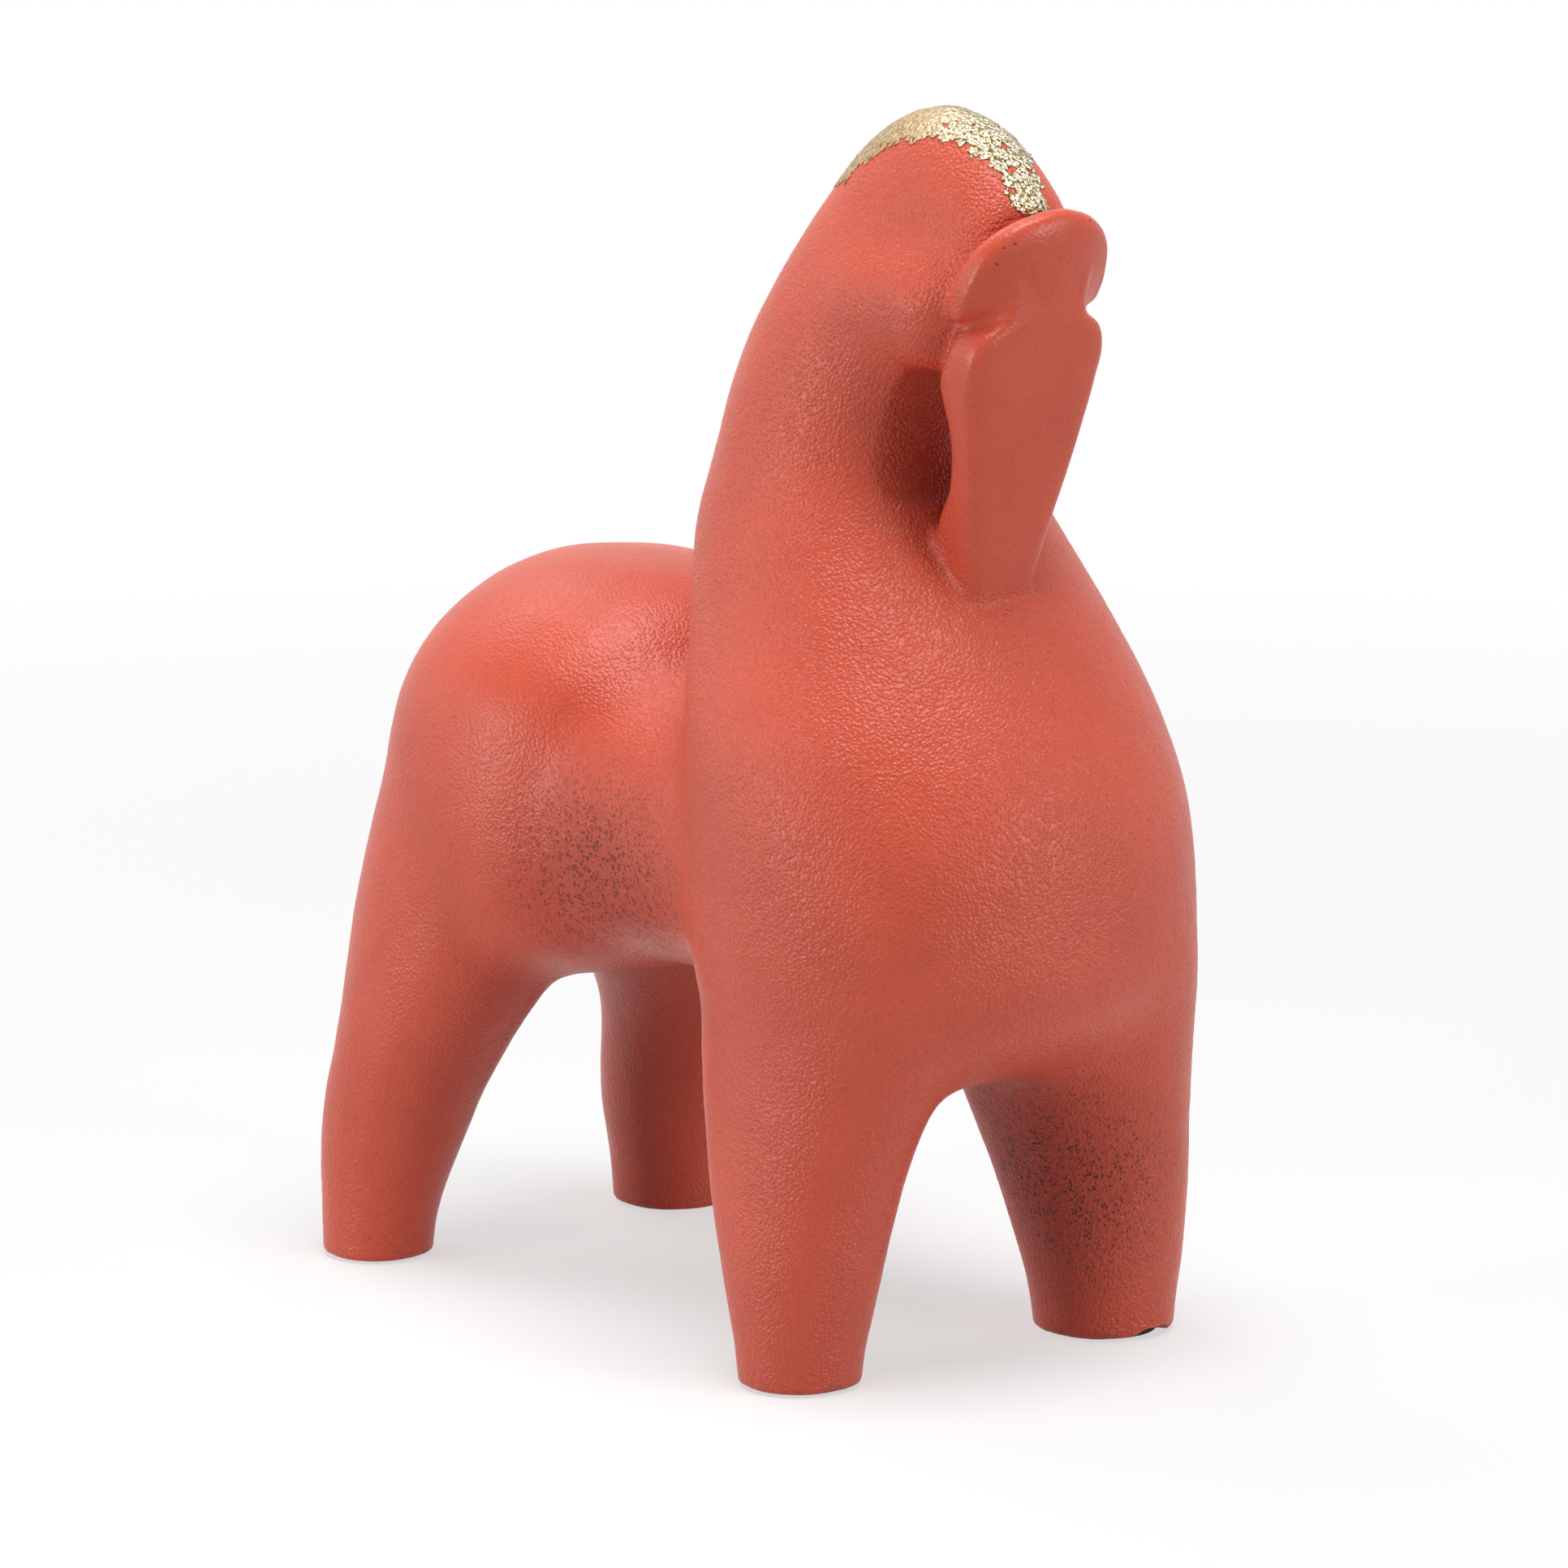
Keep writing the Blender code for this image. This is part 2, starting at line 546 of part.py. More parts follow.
def figurine():
    """The whole horse, piece by piece."""
    clear_scene()
    parts = new_collection("resin_horse_figurine")
    tools = new_collection("cutters")
    resin = finish("terracotta_resin", (0.56, 0.115, 0.07), 0.55)
    filler = finish("plug_resin", (0.5, 0.12, 0.08), 0.7)
    foam = finish("black_foam", (0.012, 0.012, 0.013), 0.9)
    gold = finish("gold_leaf", (0.78, 0.57, 0.27), 0.35, 0.9)

    foot_z = PAD_THICKNESS + GAP
    limbs = limbs_form(tools)
    below = block("below_the_feet", -40 * MM, RIM_Z, tools)
    floor = block("foot_floors", -40 * MM, foot_z + PLUG_DEPTH, tools)
    opening = jaw_hole("jaw_hole", 0, tools)
    wider_opening = jaw_hole("wall_round_jaw_hole", WALL, tools)
    body = casting_skin(limbs, below, opening, parts, resin)
    gold_leaf(body, parts, gold)
    cut(body, below)
    cut(body, casting_core(limbs, floor, wider_opening, tools))
    feet = {"front_left": FRONT_LEFT_FOOT, "front_right": FRONT_RIGHT_FOOT,
            "rear_left": REAR_LEFT_FOOT, "rear_right": REAR_RIGHT_FOOT}
    for name, (x, y, radius) in feet.items():
        middle = (x - math.copysign(PLUG_SHIFT, x), y - math.copysign(PLUG_SHIFT, y))
        hole = disc(name + "_hole", PLUG_RADIUS + GAP, -10 * MM,
                    foot_z + PLUG_DEPTH + 4 * MM, middle, tools)
        recess = disc(name + "_recess", radius - PAD_INSET + GAP, -12 * MM, foot_z, (x, y), tools)
        cut(body, cutter(recess))
        cut(body, cutter(hole))
        disc(name + "_foot_plug", PLUG_RADIUS, foot_z, foot_z + PLUG_DEPTH, middle, parts, filler)
        disc(name + "_foot_pad", radius - PAD_INSET, 0, PAD_THICKNESS, (x, y), parts, foam)


figurine()
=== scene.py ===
"""Dressed scene of the resin horse figurine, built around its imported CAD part.

The horse stands on Z = 0, looks along -Y, and its left side is +X.
"""

import json
import math
from collections import namedtuple

import bmesh
import bpy
import numpy as np
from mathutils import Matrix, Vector, noise
from mathutils.bvhtree import BVHTree

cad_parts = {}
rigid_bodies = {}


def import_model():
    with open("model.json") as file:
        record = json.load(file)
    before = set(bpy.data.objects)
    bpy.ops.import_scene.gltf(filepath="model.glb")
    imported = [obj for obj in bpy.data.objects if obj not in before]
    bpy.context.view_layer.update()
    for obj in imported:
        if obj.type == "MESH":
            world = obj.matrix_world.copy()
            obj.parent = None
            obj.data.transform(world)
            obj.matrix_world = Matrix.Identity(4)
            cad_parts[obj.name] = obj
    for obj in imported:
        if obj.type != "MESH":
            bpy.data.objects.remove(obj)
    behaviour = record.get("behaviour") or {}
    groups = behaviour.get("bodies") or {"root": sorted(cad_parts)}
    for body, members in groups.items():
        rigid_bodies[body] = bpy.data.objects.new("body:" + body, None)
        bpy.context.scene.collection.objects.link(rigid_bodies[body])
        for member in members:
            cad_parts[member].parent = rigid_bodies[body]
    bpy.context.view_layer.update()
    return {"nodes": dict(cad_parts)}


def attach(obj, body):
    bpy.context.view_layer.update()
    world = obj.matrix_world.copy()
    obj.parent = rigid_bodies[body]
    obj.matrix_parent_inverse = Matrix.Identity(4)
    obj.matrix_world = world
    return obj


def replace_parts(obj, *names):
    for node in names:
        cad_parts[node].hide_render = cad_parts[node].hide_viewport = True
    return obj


MM = 0.001

# Clearance between pieces that touch
GAP = 0.3 * MM

# The pads, which sit in shallow recesses under the feet and stand a little proud of their rims
PAD_THICKNESS = 1.0 * MM
PAD_INSET = 5.0 * MM
RIM_Z = 0.4 * MM
PAD_EDGE = 0.3 * MM

# The feet's lower edges: how round they are, how far below the rim the resin is cut before it
# is melted, and a chip out of the front left one, as a place, a radius and a depth
FOOT_ROUNDING = 1.5 * MM
FOOT_SPARE = 5.0 * MM
CHIP_PLACE = (47.0 * MM, -77.0 * MM)
CHIP_RADIUS = 6.0 * MM
CHIP_DEPTH = 2.0 * MM

# Where each foot stands, and its radius there; the casting is hand-finished, so no two match
FRONT_LEFT_FOOT = (44.3 * MM, -62.7 * MM, 17.2 * MM)
FRONT_RIGHT_FOOT = (-43.3 * MM, -60.5 * MM, 15.2 * MM)
REAR_LEFT_FOOT = (42.0 * MM, 95.5 * MM, 15.5 * MM)
REAR_RIGHT_FOOT = (-45.0 * MM, 97.5 * MM, 14.0 * MM)
FEET = (FRONT_LEFT_FOOT, FRONT_RIGHT_FOOT, REAR_LEFT_FOOT, REAR_RIGHT_FOOT)

# How far the left hind leg leans in, as a share of the right one's lean
LEFT_LEAN = 0.4

# Chest and shoulders
CHEST_Y = -58.0 * MM
CHEST_HALF_WIDTH = 60.0 * MM
CHEST_HALF_DEPTH = 51.0 * MM

# Neck, from its root on the chest to its thinnest place behind the jaw
NECK_Y = -31.0 * MM
NECK_HALF_WIDTH = 35.0 * MM
NECK_HALF_DEPTH = 33.0 * MM
CREST_HALF_WIDTH = 20.5 * MM
CREST_Z = 290.0 * MM

# Waist and rump
BELLY_Z = 79.5 * MM
WAIST_Z = 78.0 * MM
BACK_Z = 150.0 * MM
WAIST_HALF_WIDTH = 46.0 * MM
RUMP_Y = 61.0 * MM
RUMP_Z = 169.5 * MM
RUMP_HALF_WIDTH = 56.5 * MM
RUMP_HALF_DEPTH = 47.0 * MM

# The face: a plate that leans forward from its muzzle, on the chest, up to the fan of the ears
MUZZLE_Y = -80.5 * MM
MUZZLE_Z = 182.0 * MM
FACE_LEAN = math.radians(13.8)
FACE_LENGTH = 89.5 * MM
CHEEK_UP = 55.0 * MM
BROW_UP = 66.0 * MM
MUZZLE_HALF_WIDTH = 10.5 * MM
CHEEK_HALF_WIDTH = 19.5 * MM
BROW_HALF_WIDTH = 12.0 * MM
EAR_HALF_WIDTH = 20.3 * MM
JAW_THICKNESS = 10.0 * MM
CHEEK_THICKNESS = 13.0 * MM
EAR_THICKNESS = 8.0 * MM
EAR_SWEEP = 7.0 * MM
EAR_DROOP = 0.25

# The hole between the jaw and the neck, measured up the face and back from its front
HOLE_UP = 29.5 * MM
HOLE_HALF_HEIGHT = 17.5 * MM

# Fineness of the sculpted surfaces
LIMB_VOXEL = 2.5 * MM
LIMB_EASE = 17.68 * MM
SKIN_VOXEL = 0.6 * MM
SKIN_EASE = 2.6 * MM
RING_POINTS = 40
LOFT_STEPS = 6
ROUND_POINTS = 96

# Relief of the skin: the hand's unevenness, and sand grains, each with its spacing and depth
HAND_SPACING = 17.0 * MM
HAND_DEPTH = 0.5 * MM
GRAIN_SPACING = 1.0 * MM
GRAIN_DEPTH = 0.16 * MM

# The gold leaf: where it starts and ends round its centre, how wide it is and how late it
# widens, a notch between the two tongues in front, and its relief
LEAF_CENTRE = (0, -60.0 * MM, 245.0 * MM)
LEAF_FRONT = math.radians(-53.0)
LEAF_BACK = math.radians(52.0)
LEAF_FRONT_HALF_WIDTH = 4.6 * MM
LEAF_BACK_HALF_WIDTH = 24.0 * MM
LEAF_WIDENING = 1.3
LEAF_TONGUE = 1.2 * MM
LEAF_REACH = 25.0 * MM
LEAF_NOTCH = (-2.8 * MM, -93.0 * MM, 268.0 * MM)
LEAF_NOTCH_RADIUS = 2.4 * MM
LEAF_CELL = 0.45 * MM
LEAF_LIFT = 0.12 * MM
LEAF_THICKNESS = 0.15 * MM
LEAF_FLAKE = 0.35 * MM

# The camera: where it stands round the horse, and what it looks at
CAMERA_AZIMUTH = math.radians(-38.3)
CAMERA_ELEVATION = math.radians(12.0)
CAMERA_DISTANCE = 3.0
CAMERA_LENS = 299.07
CAMERA_AIM = (0, 0, 123.2 * MM)

# The studio
FLOOR_SIZE = 12.0
FLOOR_SEEN = (0.92, 0.92, 0.92)
FLOOR_BOUNCE = (0.62, 0.62, 0.62)
FLOOR_WHITE = 0.6
SHADOW_REACH = 0.35
AMBIENT = 0.02
LIGHTS = (
    ("top_softbox", (-0.1, -0.3, 1.5), 0.8, 19.5),
    ("back_softbox", (0.0, 0.9, 1.4), 0.8, 6.0),
    ("left_fill", (-1.5, 0.35, 0.3), 0.6, 10.5),
    ("left_back_fill", (-1.0, 1.4, 0.6), 0.8, 2.5),
    ("front_fill", (0.6, -1.65, 0.3), 0.6, 11.0),
)

# Where the dark pinholes crowd and how far they spread, on the right flank and inside the
# front left leg, where painted shade also darkens the resin, and single ones on the rim of the
# ears
FLANK_SPECKS_AND_SHADE = (-46 * MM, 9.5 * MM, 101 * MM)
FLANK_SPREAD = 38 * MM
INNER_LEG_SPECKS_AND_SHADE = (24 * MM, -71 * MM, 40 * MM)
INNER_LEG_SPREAD = 34 * MM
EAR_PIT_RADIUS = 0.45 * MM
EAR_PITS = (
    (-11.9 * MM, -97.8 * MM, 263.4 * MM),
    (-14.2 * MM, -96.7 * MM, 262.6 * MM),
    (-15.4 * MM, -95.6 * MM, 259.0 * MM),
    (9.0 * MM, -98.5 * MM, 266.6 * MM),
)

# One section of a limb: its centre, half width across, half depth along, squareness, tilt in
# degrees about X, and bow, by which its sides lie further along than its middle
Section = namedtuple("Section", "y z wide deep square tilt x bow", defaults=(0, 0))


def through(rows, steps):
    """Smooth curve through rows of values, with so many steps from one row to the next."""
    rows = np.array(rows, dtype=float)
    rows = np.vstack([2 * rows[0] - rows[1], rows, 2 * rows[-1] - rows[-2]])
    points = []
    for index in range(1, len(rows) - 2):
        a, b, c, d = rows[index - 1:index + 3]
        for step in range(steps):
            t = step / steps
            points.append(0.5 * (2 * b + (c - a) * t + (2 * a - 5 * b + 4 * c - d) * t ** 2
                                 + (3 * b - a - 3 * c + d) * t ** 3))
    points.append(rows[-2])
    return points


def ring(section):
    """Points of one section: a superellipse that lies flat at tilt 0 and stands up at 90."""
    power = 2 / section.square
    tilt = math.radians(section.tilt)
    points = []
    for index in range(RING_POINTS):
        angle = 2 * math.pi * index / RING_POINTS
        across = math.copysign(abs(math.cos(angle)) ** power, math.cos(angle))
        along = math.copysign(abs(math.sin(angle)) ** power, math.sin(angle)) * section.deep
        along += section.bow * across ** 2
        points.append((section.x + across * section.wide,
                       section.y + along * math.cos(tilt),
                       section.z + along * math.sin(tilt)))
    return points


def upright_ring(x, up, back, high, deep, square, lean=0.0):
    """Points of a section that stands across X, leaning with the face and by so much more."""
    power = 2 / square
    points = []
    for index in range(RING_POINTS):
        angle = 2 * math.pi * index / RING_POINTS
        along = math.copysign(abs(math.cos(angle)) ** power, math.cos(angle)) * deep
        rise = math.copysign(abs(math.sin(angle)) ** power, math.sin(angle)) * high
        points.append((x, *on_face(up + rise, back + along - lean * rise)))
    return points


def loft(form, sections):
    """Add a closed skin through the sections to a bmesh."""
    cover(form, [ring(Section(*row)) for row in through(sections, LOFT_STEPS)])


def cover(form, outlines):
    """Add a closed skin over a row of outlines to a bmesh."""
    rings = [[form.verts.new(point) for point in outline] for outline in outlines]
    for lower, upper in zip(rings, rings[1:]):
        for index in range(RING_POINTS):
            after = (index + 1) % RING_POINTS
            form.faces.new((lower[index], lower[after], upper[after], upper[index]))
    form.faces.new(list(reversed(rings[0])))
    form.faces.new(rings[-1])


def neck_sections():
    """Chest, neck and crest, from between the forelegs up and over to the forehead."""
    wide = CHEST_HALF_WIDTH
    deep = CHEST_HALF_DEPTH
    return [
        Section(CHEST_Y, BELLY_Z - 13 * MM, wide - 30 * MM, deep - 29 * MM, 2.2, 0),
        Section(CHEST_Y, BELLY_Z - 4 * MM, wide - 12 * MM, deep - 13 * MM, 2.2, 0),
        Section(CHEST_Y, BELLY_Z + 6 * MM, wide - 3 * MM, deep - 4 * MM, 2.2, 0),
        Section(CHEST_Y, BELLY_Z + 20 * MM, wide, deep, 2.2, 0),
        Section(CHEST_Y + 1 * MM, 125 * MM, wide, deep + 1 * MM, 2.1, 0),
        Section(CHEST_Y + 7 * MM, 147 * MM, wide - 3 * MM, deep + 1 * MM, 2.0, 0),
        Section(NECK_Y - 9.5 * MM, 170 * MM, NECK_HALF_WIDTH + 13 * MM,
                NECK_HALF_DEPTH + 14 * MM, 2.1, 0, 1.5 * MM),
        Section(NECK_Y - 0.5 * MM, 190 * MM, NECK_HALF_WIDTH + 6 * MM,
                NECK_HALF_DEPTH + 5 * MM, 2.3, 0, 1.5 * MM),
        Section(NECK_Y + 1 * MM, 207 * MM, NECK_HALF_WIDTH, NECK_HALF_DEPTH + 1 * MM, 2.0, 0),
        Section(NECK_Y - 3 * MM, 224 * MM, NECK_HALF_WIDTH - 3 * MM,
                NECK_HALF_DEPTH - 1 * MM, 2.0, 12),
        Section(NECK_Y - 14 * MM, CREST_Z - 49 * MM, CREST_HALF_WIDTH + 7 * MM,
                NECK_HALF_DEPTH - 2 * MM, 2.0, 32),
        Section(NECK_Y - 29 * MM, CREST_Z - 33 * MM, CREST_HALF_WIDTH,
                NECK_HALF_DEPTH, 1.9, 60),
        Section(NECK_Y - 44 * MM, CREST_Z - 35 * MM, CREST_HALF_WIDTH - 2 * MM,
                NECK_HALF_DEPTH + 1 * MM, 1.85, 84),
        Section(NECK_Y - 58 * MM, CREST_Z - 40 * MM, CREST_HALF_WIDTH - 3 * MM,
                NECK_HALF_DEPTH - 12 * MM, 2.0, 100),
    ]


def cheek_sections():
    """The cheeks, which carry the neck's sides forward to the face plate."""
    y, z = on_face(CHEEK_UP, CHEEK_THICKNESS)
    return [
        Section(NECK_Y - 20 * MM, z + 8 * MM, CHEEK_HALF_WIDTH + 9 * MM, 17 * MM, 2.3, 90),
        Section(NECK_Y - 38 * MM, z + 7 * MM, CHEEK_HALF_WIDTH + 7 * MM, 16 * MM, 2.5, 92),
        Section(y + 1 * MM, z + 5 * MM, CHEEK_HALF_WIDTH + 5.5 * MM, 15 * MM, 2.8, 100),
    ]


def rump_sections():
    """The rump dome, from between the hind legs up."""
    wide = RUMP_HALF_WIDTH
    deep = RUMP_HALF_DEPTH
    return [
        Section(RUMP_Y, BELLY_Z - 7 * MM, wide - 28 * MM, deep - 25 * MM, 2.2, 0),
        Section(RUMP_Y, BELLY_Z, wide - 13 * MM, deep - 11 * MM, 2.3, 0),
        Section(RUMP_Y, BELLY_Z + 9 * MM, wide - 4 * MM, deep - 4 * MM, 2.4, 0),
        Section(RUMP_Y + 1 * MM, RUMP_Z - 64 * MM, wide - 1 * MM, deep, 2.4, 0),
        Section(RUMP_Y + 1 * MM, RUMP_Z - 44 * MM, wide - 1 * MM, deep, 2.3, 0),
        Section(RUMP_Y - 1 * MM, RUMP_Z - 26 * MM, wide - 5 * MM, deep - 2 * MM, 2.2, 0),
        Section(RUMP_Y - 1 * MM, RUMP_Z - 13 * MM, wide - 16 * MM, deep - 9 * MM, 2.1, 0),
        Section(RUMP_Y - 1 * MM, RUMP_Z - 4 * MM, wide - 30 * MM, deep - 20 * MM, 2.0, 0),
        Section(RUMP_Y, RUMP_Z, wide - 44 * MM, deep - 35 * MM, 2.0, 0),
    ]


def waist_sections():
    """The waist between the shoulders and the rump, lying along Y."""
    middle = (WAIST_Z + BACK_Z) / 2
    deep = (BACK_Z - WAIST_Z) / 2
    return [
        Section(CHEST_Y + 18 * MM, middle, WAIST_HALF_WIDTH + 4 * MM, deep, 2.2, 90),
        Section(CHEST_Y + 48 * MM, middle, WAIST_HALF_WIDTH + 1 * MM, deep, 2.2, 90),
        Section((CHEST_Y + RUMP_Y) / 2 + 16 * MM, middle, WAIST_HALF_WIDTH, deep, 2.2, 90),
        Section(RUMP_Y - 16 * MM, middle - 1 * MM, WAIST_HALF_WIDTH + 3 * MM,
                deep + 2.5 * MM, 2.2, 90),
        Section(RUMP_Y + 9 * MM, middle - 1 * MM, WAIST_HALF_WIDTH + 4 * MM,
                deep + 2.5 * MM, 2.2, 90),
    ]


def fore_leg_sections(foot):
    """A foreleg, from below its foot up into the chest."""
    x, y, wide = foot
    inward = -math.copysign(1, x)
    return [
        Section(y, -20 * MM, wide - 1 * MM, wide - 1 * MM, 2.1, 0, x),
        Section(y, 4 * MM, wide, wide - 0.5 * MM, 2.1, 0, x),
        Section(y, 15 * MM, wide + 1.8 * MM, wide + 1.8 * MM, 2.1, 0, x + 0.5 * MM * inward),
        Section(y + 0.8 * MM, 27 * MM, wide + 3.2 * MM, wide + 5 * MM, 2.1, 0,
                x + 1.5 * MM * inward),
        Section(y + 2 * MM, 38 * MM, wide + 4.5 * MM, wide + 8 * MM, 2.1, 0,
                x + 2.7 * MM * inward),
        Section(y + 3 * MM, 50 * MM, wide + 5.7 * MM, wide + 11.5 * MM, 2.1, 0,
                x + 4.7 * MM * inward),
        Section(y + 3.5 * MM, 72 * MM, wide + 8.5 * MM, wide + 18.5 * MM, 2.1, 0,
                x + 9.5 * MM * inward),
        Section(CHEST_Y - 2 * MM, 95 * MM, wide + 12 * MM, wide + 26 * MM, 2.0, 0,
                x + 15.5 * MM * inward),
        Section(CHEST_Y - 1 * MM, 122 * MM, wide + 11.5 * MM, wide + 25 * MM, 2.0, 0,
                x + 18.5 * MM * inward),
    ]


def hind_leg_sections(foot):
    """A hind leg, from below its foot up into the rump; the left one leans in less."""
    x, y, wide = foot
    inward = -math.copysign(1, x)
    lean = 1 if x < 0 else LEFT_LEAN
    return [
        Section(y, -20 * MM, wide - 0.5 * MM, wide - 0.5 * MM, 2.1, 0, x),
        Section(y, 4 * MM, wide, wide, 2.1, 0, x),
        Section(y - 1 * MM, 19 * MM, wide + 2 * MM, wide + 2.2 * MM, 2.1, 0,
                x + 1.5 * MM * inward * lean),
        Section(y - 3 * MM, 31 * MM, wide + 4 * MM, wide + 4.5 * MM, 2.1, 0,
                x + 3 * MM * inward * lean),
        Section(y - 6.5 * MM, 42 * MM, wide + 5 * MM, wide + 6.2 * MM, 2.1, 0,
                x + 4 * MM * inward * lean),
        Section(y - 11 * MM, 54 * MM, wide + 6.8 * MM, wide + 8.5 * MM, 2.1, 0,
                x + 6.3 * MM * inward * lean),
        Section(RUMP_Y + 18.5 * MM, 76 * MM, wide + 9.5 * MM, wide + 15.5 * MM, 2.1, 0,
                x + 10.5 * MM * inward),
        Section(RUMP_Y + 14 * MM, 100 * MM, wide + 12 * MM, wide + 17 * MM, 2.1, 0,
                x + 15 * MM * inward),
        Section(RUMP_Y + 9 * MM, 122 * MM, wide + 10 * MM, wide + 16 * MM, 2.1, 0,
                x + 17 * MM * inward),
    ]


def on_face(up, back):
    """Place on the face's middle line: up from the muzzle, and back from its flat front."""
    y = MUZZLE_Y - up * math.sin(FACE_LEAN) + back * math.cos(FACE_LEAN)
    z = MUZZLE_Z + up * math.cos(FACE_LEAN) + back * math.sin(FACE_LEAN)
    return y, z


def face_sections():
    """The face plate, from inside the chest up into the fan of the ears."""
    jaw = JAW_THICKNESS
    rows = [
        (-6 * MM, MUZZLE_HALF_WIDTH, jaw + 9 * MM),
        (0, MUZZLE_HALF_WIDTH, jaw + 8.5 * MM),
        (HOLE_UP - 16 * MM, MUZZLE_HALF_WIDTH + 2 * MM, jaw + 5 * MM),
        (HOLE_UP - 7 * MM, MUZZLE_HALF_WIDTH + 3.6 * MM, jaw + 1 * MM),
        (HOLE_UP + 5 * MM, CHEEK_HALF_WIDTH - 2.9 * MM, jaw + 1 * MM),
        (CHEEK_UP - 9 * MM, CHEEK_HALF_WIDTH - 0.6 * MM, jaw + 5.5 * MM),
        (CHEEK_UP, CHEEK_HALF_WIDTH, CHEEK_THICKNESS),
        (CHEEK_UP + 6 * MM, CHEEK_HALF_WIDTH - 2 * MM, CHEEK_THICKNESS),
        (BROW_UP, BROW_HALF_WIDTH, CHEEK_THICKNESS - 1 * MM),
        (BROW_UP + 12 * MM, BROW_HALF_WIDTH, EAR_THICKNESS - 3 * MM),
    ]
    sections = []
    for up, half_width, thick in rows:
        y, z = on_face(up, max(thick, EAR_THICKNESS) / 2)
        sections.append(Section(y, z, half_width, thick / 2, 5, math.degrees(FACE_LEAN)))
    return sections


def ear_outlines():
    """The fan of the ears from side to side: each tip lies back and droops past the brow."""
    half = [
        (EAR_HALF_WIDTH, BROW_UP - 3 * MM, BROW_UP + 4 * MM, EAR_THICKNESS - 3 * MM),
        (EAR_HALF_WIDTH - 1.5 * MM, BROW_UP - 4 * MM, FACE_LENGTH - 11.5 * MM,
         EAR_THICKNESS - 1 * MM),
        (EAR_HALF_WIDTH - 4.5 * MM, BROW_UP - 4 * MM, FACE_LENGTH - 6.5 * MM, EAR_THICKNESS),
        (EAR_HALF_WIDTH - 9.5 * MM, BROW_UP - 3 * MM, FACE_LENGTH - 2.5 * MM, EAR_THICKNESS),
        (EAR_HALF_WIDTH - 15.5 * MM, BROW_UP - 3 * MM, FACE_LENGTH - 0.2 * MM, EAR_THICKNESS),
        (0, BROW_UP - 3 * MM, FACE_LENGTH + 0.5 * MM, EAR_THICKNESS),
    ]
    rows = half + [(-x, *rest) for x, *rest in reversed(half[:-1])]
    outlines = []
    for x, low, high, thick in through(rows, LOFT_STEPS):
        sweep = (x / EAR_HALF_WIDTH) ** 2
        outlines.append(upright_ring(x, (low + high) / 2, EAR_SWEEP * sweep + thick / 2,
                                     (high - low) / 2, thick / 2, 3, EAR_DROOP * sweep))
    return outlines


def hole_outlines(margin):
    """The hole between jaw and neck from side to side, flared to the sides, with a margin."""
    half = [
        (38 * MM, 19 * MM, HOLE_HALF_HEIGHT + 3.5 * MM),
        (28 * MM, 13 * MM, HOLE_HALF_HEIGHT + 1.3 * MM),
        (18 * MM, 9.5 * MM, HOLE_HALF_HEIGHT),
        (0, 8 * MM, HOLE_HALF_HEIGHT - 0.5 * MM),
    ]
    rows = half + [(-x, *rest) for x, *rest in reversed(half[:-1])]
    outlines = []
    for x, deep, high in through(rows, LOFT_STEPS):
        outlines.append(upright_ring(x, HOLE_UP, JAW_THICKNESS + deep, high + margin,
                                     deep + margin, 2))
    return outlines


def clear_scene():
    """Remove the objects that the scene starts with."""
    for old in list(bpy.data.objects):
        bpy.data.objects.remove(old, do_unlink=True)


def object_from(form, name, material=None):
    """Turn a bmesh into an object of the scene."""
    bmesh.ops.recalc_face_normals(form, faces=form.faces)
    mesh = bpy.data.meshes.new(name)
    form.to_mesh(mesh)
    form.free()
    mesh.shade_smooth()
    if material:
        mesh.materials.append(material)
    made = bpy.data.objects.new(name, mesh)
    bpy.context.scene.collection.objects.link(made)
    return made


def baked(made):
    """The object's mesh with its modifiers applied; the object itself goes."""
    graph = bpy.context.evaluated_depsgraph_get()
    mesh = bpy.data.meshes.new_from_object(made.evaluated_get(graph), depsgraph=graph)
    bpy.data.objects.remove(made)
    return mesh


def melt(made, voxel, ease):
    """Melt an object's crossing skins into one and ease the creases, over a distance."""
    remesh = made.modifiers.new("melt", "REMESH")
    remesh.mode = "VOXEL"
    remesh.voxel_size = voxel
    smooth = made.modifiers.new("ease", "SMOOTH")
    smooth.factor = 0.5
    smooth.iterations = round((ease / voxel) ** 2)


def limbs_mesh():
    """The horse without its face: chest, neck, rump, waist and legs melted together."""
    form = bmesh.new()
    loft(form, neck_sections())
    loft(form, cheek_sections())
    loft(form, rump_sections())
    loft(form, waist_sections())
    for foot in (FRONT_LEFT_FOOT, FRONT_RIGHT_FOOT):
        loft(form, fore_leg_sections(foot))
    for foot in (REAR_LEFT_FOOT, REAR_RIGHT_FOOT):
        loft(form, hind_leg_sections(foot))
    made = object_from(form, "limbs")
    melt(made, LIMB_VOXEL, LIMB_EASE)
    return baked(made)


def block(name, low_z, high_z):
    """A wide block between two heights, which cuts the feet level."""
    form = bmesh.new()
    bmesh.ops.create_cube(form, size=1)
    bmesh.ops.scale(form, vec=(0.2, 0.4, high_z - low_z), verts=form.verts)
    bmesh.ops.translate(form, vec=(0, 0, (low_z + high_z) / 2), verts=form.verts)
    return object_from(form, name)


def smooth_step(value, start, end):
    """0 before start, 1 past end, and an even rise between them."""
    share = np.clip((value - start) / (end - start), 0, 1)
    return share * share * (3 - 2 * share)


